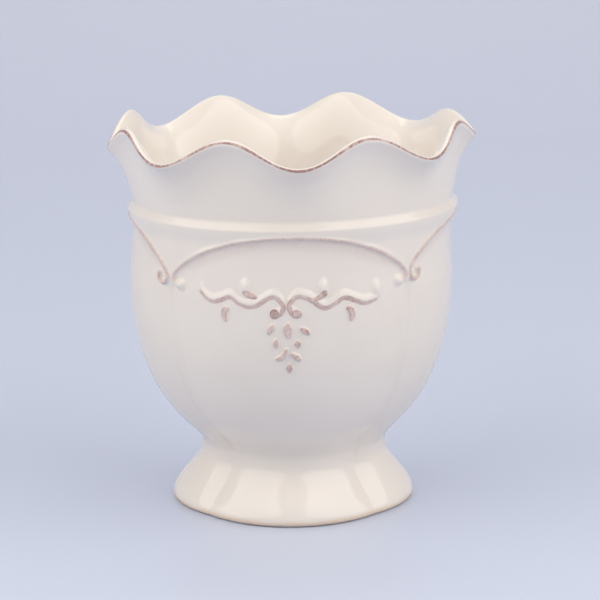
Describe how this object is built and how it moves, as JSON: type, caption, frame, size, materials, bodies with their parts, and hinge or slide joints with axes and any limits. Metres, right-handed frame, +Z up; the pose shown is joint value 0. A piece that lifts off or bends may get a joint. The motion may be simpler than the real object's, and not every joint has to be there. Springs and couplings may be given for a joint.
{
  "type": "vase",
  "caption": "Cream glazed ceramic vase with a lobed bowl on a flared foot, a frilled flaring collar and a brown-stained scroll relief under arched mouldings; holds flowers or a pot.",
  "frame": {"origin": "middle of the foot's underside, on the surface the vase stands on", "axes": "+Z up along the axis of the vase, the front with the scroll ornament faces -Y, +X to the right"},
  "size_m": [0.1439, 0.1438, 0.1527],
  "materials": {
    "cream_glaze": "glossy cream glaze",
    "stained_glaze": "glossy glaze over a rubbed rose-brown stain"
  },
  "bodies": {
    "root": {"bowl": "cream_glaze", "foot": "cream_glaze", "collar": "cream_glaze", "shoulder_bead": "cream_glaze", "spandrel_front_right": "cream_glaze", "spandrel_back_right": "cream_glaze", "spandrel_back_left": "cream_glaze", "spandrel_front_left": "cream_glaze", "arch_front": "stained_glaze", "arch_right": "stained_glaze", "arch_back": "stained_glaze", "arch_left": "stained_glaze", "front_scroll_left": "stained_glaze", "front_scroll_right": "stained_glaze", "front_leaf_upper_left": "stained_glaze", "front_leaf_upper_right": "stained_glaze", "front_leaf_hanging_left": "stained_glaze", "front_leaf_hanging_right": "stained_glaze", "front_drop_top_left": "stained_glaze", "front_drop_top_middle": "stained_glaze", "front_drop_top_right": "stained_glaze", "front_drop_second_left": "stained_glaze", "front_drop_second_right": "stained_glaze", "front_drop_third_left": "stained_glaze", "front_drop_third_right": "stained_glaze", "front_drop_bottom": "stained_glaze", "back_scroll_left": "stained_glaze", "back_scroll_right": "stained_glaze", "back_leaf_upper_left": "stained_glaze", "back_leaf_upper_right": "stained_glaze", "back_leaf_hanging_left": "stained_glaze", "back_leaf_hanging_right": "stained_glaze", "back_drop_top_left": "stained_glaze", "back_drop_top_middle": "stained_glaze", "back_drop_top_right": "stained_glaze", "back_drop_second_left": "stained_glaze", "back_drop_second_right": "stained_glaze", "back_drop_third_left": "stained_glaze", "back_drop_third_right": "stained_glaze", "back_drop_bottom": "stained_glaze"}
  },
  "joints": []
}
